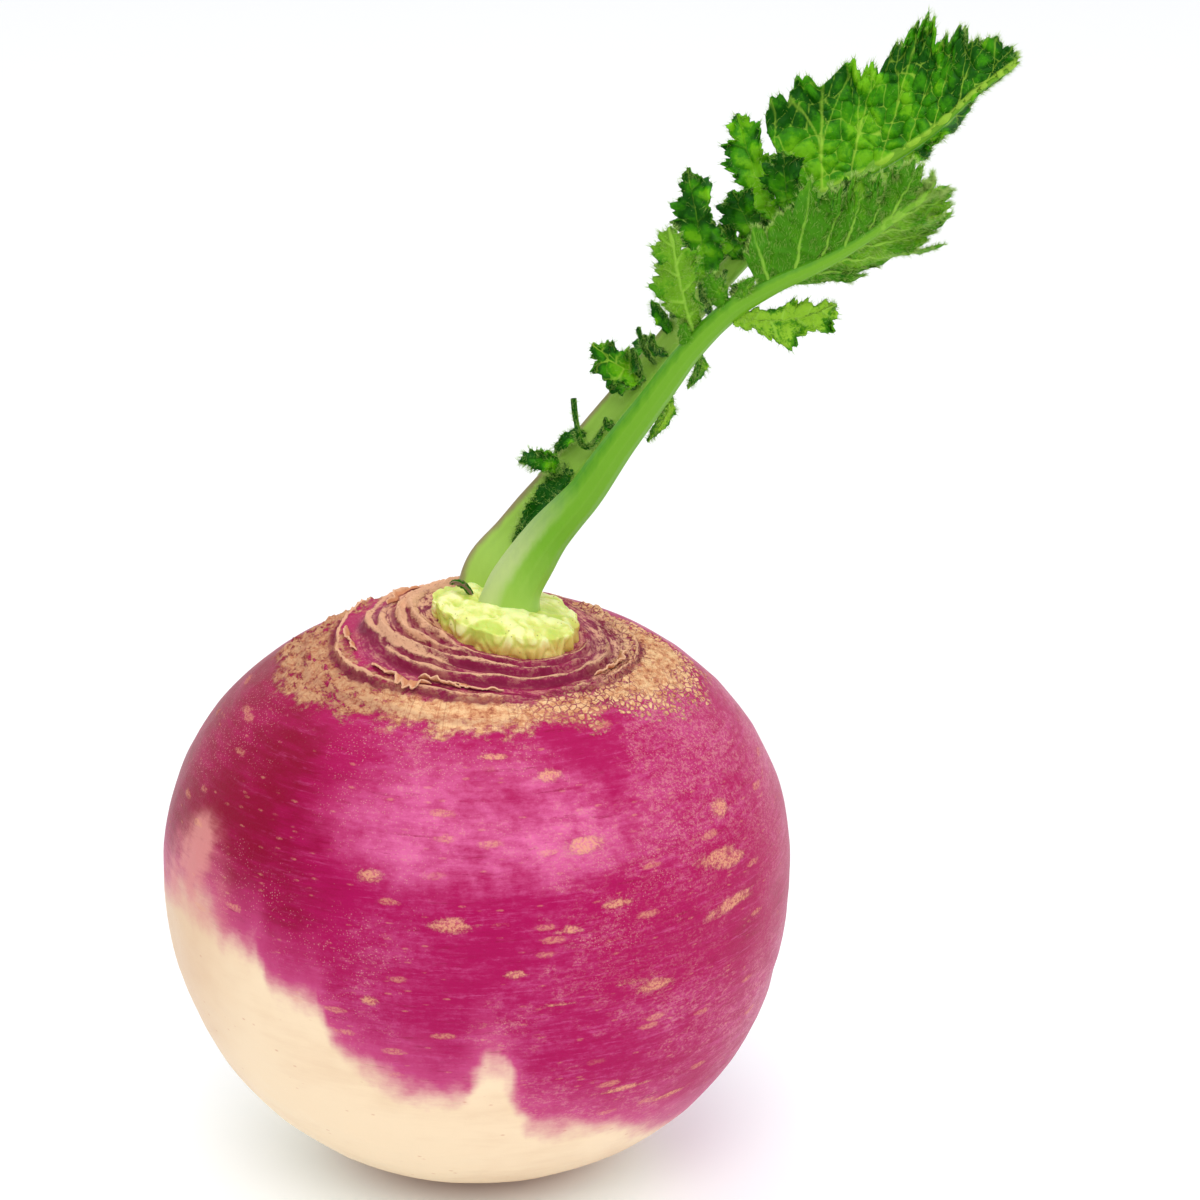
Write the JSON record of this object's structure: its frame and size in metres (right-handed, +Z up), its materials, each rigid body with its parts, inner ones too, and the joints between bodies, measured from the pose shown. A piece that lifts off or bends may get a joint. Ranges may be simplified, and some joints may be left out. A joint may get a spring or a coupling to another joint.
{
  "type": "turnip with leaves",
  "caption": "Round swollen root, purple above and cream below, on a small flat spot, with a pale crown and leaning toothed leaves.",
  "frame": {"origin": "centre of the small flat spot that the root rests on, on the floor", "axes": "+Z up through the root to its crown; +X to the right as seen from the front, the way the leaves lean; the front looks along -Y"},
  "size_m": [0.1317, 0.0992, 0.1816],
  "materials": {
    "skin": "satin purple skin, cream below, corky tan shoulder",
    "crown": "moist pale yellow-green",
    "leaf_pale": "satin yellow-green stalk and hairy leaf back",
    "leaf_deep": "satin green, finely puckered",
    "bud": "matt dark green"
  },
  "bodies": {
    "root": {"globe": "skin", "crown": "crown", "leaf_front": "leaf_pale", "leaf_rear": "leaf_deep", "bud": "bud"}
  },
  "joints": []
}
